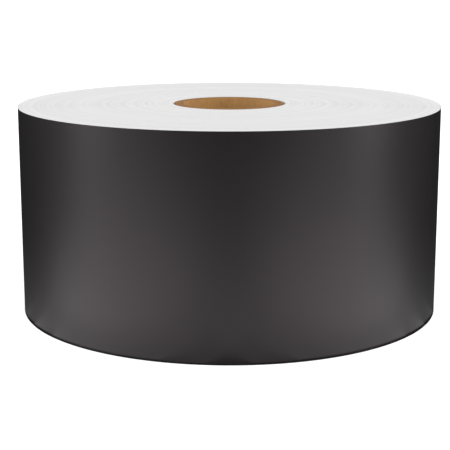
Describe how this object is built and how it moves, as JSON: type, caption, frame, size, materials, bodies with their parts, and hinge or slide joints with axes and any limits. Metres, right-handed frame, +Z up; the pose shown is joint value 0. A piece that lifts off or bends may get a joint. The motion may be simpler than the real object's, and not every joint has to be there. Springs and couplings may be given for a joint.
{
  "type": "sign vinyl roll",
  "caption": "Roll of black self-adhesive sign vinyl on its white liner, wound on a paperboard core and standing on its end, with a free end that unrolls and peels.",
  "frame": {"origin": "on the core's axis at the lower end face, which the roll stands on", "axes": "+Z up the core's axis; the web's leading edge is towards -X +Y, at the back"},
  "size_m": [0.1167, 0.1169, 0.0571],
  "materials": {
    "black_film": "satin black vinyl face",
    "white_liner": "smooth coated release paper",
    "web_edges": "pale slit edges of the wound web, matt",
    "paperboard": "plain brown spiral-wound board",
    "paper_tape": "creped paper tape, pale buff"
  },
  "bodies": {
    "roll": {"core_inner_ply": "paperboard", "core_ply_2": "paperboard", "core_ply_3": "paperboard", "core_ply_4": "paperboard", "core_ply_5": "paperboard", "core_outer_ply": "paperboard", "core_start_tape": "paper_tape", "inner_turn_liner": "white_liner", "inner_turn_film": "black_film", "wound_turns": "web_edges", "outer_turn_liner": "white_liner", "outer_turn_film": "black_film"},
    "tail_01": {"tail_liner_01": "white_liner", "tail_film_01": "black_film"},
    "tail_02": {"tail_liner_02": "white_liner", "tail_film_02": "black_film"},
    "tail_03": {"tail_liner_03": "white_liner", "tail_film_03": "black_film"},
    "tail_04": {"tail_liner_04": "white_liner", "tail_film_04": "black_film"},
    "tail_05": {"tail_liner_05": "white_liner", "tail_film_05": "black_film"},
    "tail_06": {"tail_liner_06": "white_liner", "tail_film_06": "black_film"},
    "tail_07": {"tail_liner_07": "white_liner", "tail_film_07": "black_film"},
    "tail_08": {"tail_liner_08": "white_liner", "tail_film_08": "black_film"},
    "tail_09": {"tail_liner_09": "white_liner", "tail_film_09": "black_film"},
    "tail_10": {"tail_liner_10": "white_liner", "tail_film_10": "black_film"},
    "tail_end": {"tail_liner_end": "white_liner", "tail_film_end": "black_film"},
    "film_tip_01": {"film_tip_01": "black_film"},
    "film_tip_02": {"film_tip_02": "black_film"},
    "film_tip_03": {"film_tip_03": "black_film"},
    "film_tip_04": {"film_tip_04": "black_film", "closing_tape": "paper_tape"}
  },
  "joints": [
    {"name": "unroll_01", "type": "hinge", "parent": "roll", "child": "tail_01", "pos_m": [0.04126, 0.04126, 0.02857], "axis": [0, 0, -1], "range_deg": [0, 7.5], "stiffness_Nm_per_rad": 0.001},
    {"name": "unroll_02", "type": "hinge", "parent": "tail_01", "child": "tail_02", "pos_m": [0.03552, 0.04629, 0.02857], "axis": [0, 0, -1], "range_deg": [0, 7.5], "stiffness_Nm_per_rad": 0.001},
    {"name": "unroll_03", "type": "hinge", "parent": "tail_02", "child": "tail_03", "pos_m": [0.02918, 0.05053, 0.02857], "axis": [0, 0, -1], "range_deg": [0, 7.5], "stiffness_Nm_per_rad": 0.001},
    {"name": "unroll_04", "type": "hinge", "parent": "tail_03", "child": "tail_04", "pos_m": [0.02233, 0.05391, 0.02857], "axis": [0, 0, -1], "range_deg": [0, 7.5], "stiffness_Nm_per_rad": 0.001},
    {"name": "unroll_05", "type": "hinge", "parent": "tail_04", "child": "tail_05", "pos_m": [0.01511, 0.05637, 0.02857], "axis": [0, 0, -1], "range_deg": [0, 7.5], "stiffness_Nm_per_rad": 0.001},
    {"name": "unroll_06", "type": "hinge", "parent": "tail_05", "child": "tail_06", "pos_m": [0.00762, 0.05787, 0.02857], "axis": [0, 0, -1], "range_deg": [0, 7.5], "stiffness_Nm_per_rad": 0.001},
    {"name": "unroll_07", "type": "hinge", "parent": "tail_06", "child": "tail_07", "pos_m": [0, 0.05837, 0.02857], "axis": [0, 0, -1], "range_deg": [0, 7.5], "stiffness_Nm_per_rad": 0.001},
    {"name": "unroll_08", "type": "hinge", "parent": "tail_07", "child": "tail_08", "pos_m": [-0.00762, 0.05788, 0.02857], "axis": [0, 0, -1], "range_deg": [0, 7.5], "stiffness_Nm_per_rad": 0.001},
    {"name": "unroll_09", "type": "hinge", "parent": "tail_08", "child": "tail_09", "pos_m": [-0.01511, 0.05639, 0.02857], "axis": [0, 0, -1], "range_deg": [0, 7.5], "stiffness_Nm_per_rad": 0.001},
    {"name": "unroll_10", "type": "hinge", "parent": "tail_09", "child": "tail_10", "pos_m": [-0.02234, 0.05394, 0.02857], "axis": [0, 0, -1], "range_deg": [0, 7.5], "stiffness_Nm_per_rad": 0.001},
    {"name": "unroll_11", "type": "hinge", "parent": "tail_10", "child": "tail_end", "pos_m": [-0.02919, 0.05057, 0.02857], "axis": [0, 0, -1], "range_deg": [0, 7.5], "stiffness_Nm_per_rad": 0.001},
    {"name": "peel_01", "type": "hinge", "parent": "tail_end", "child": "film_tip_01", "pos_m": [-0.0314, 0.04929, 0.02857], "axis": [0, 0, -1], "range_deg": [0, 35]},
    {"name": "peel_02", "type": "hinge", "parent": "film_tip_01", "child": "film_tip_02", "pos_m": [-0.03352, 0.04787, 0.02857], "axis": [0, 0, -1], "range_deg": [0, 35]},
    {"name": "peel_03", "type": "hinge", "parent": "film_tip_02", "child": "film_tip_03", "pos_m": [-0.03558, 0.04637, 0.02857], "axis": [0, 0, -1], "range_deg": [0, 35]},
    {"name": "peel_04", "type": "hinge", "parent": "film_tip_03", "child": "film_tip_04", "pos_m": [-0.03757, 0.04477, 0.02857], "axis": [0, 0, -1], "range_deg": [0, 35]}
  ],
  "couplings": [
    {"joint": "unroll_02", "follows": "unroll_01", "ratio": 1},
    {"joint": "unroll_03", "follows": "unroll_01", "ratio": 1},
    {"joint": "unroll_04", "follows": "unroll_01", "ratio": 1},
    {"joint": "unroll_05", "follows": "unroll_01", "ratio": 1},
    {"joint": "unroll_06", "follows": "unroll_01", "ratio": 1},
    {"joint": "unroll_07", "follows": "unroll_01", "ratio": 1},
    {"joint": "unroll_08", "follows": "unroll_01", "ratio": 1},
    {"joint": "unroll_09", "follows": "unroll_01", "ratio": 1},
    {"joint": "unroll_10", "follows": "unroll_01", "ratio": 1},
    {"joint": "unroll_11", "follows": "unroll_01", "ratio": 1},
    {"joint": "peel_02", "follows": "peel_01", "ratio": 1},
    {"joint": "peel_03", "follows": "peel_01", "ratio": 1},
    {"joint": "peel_04", "follows": "peel_01", "ratio": 1}
  ]
}
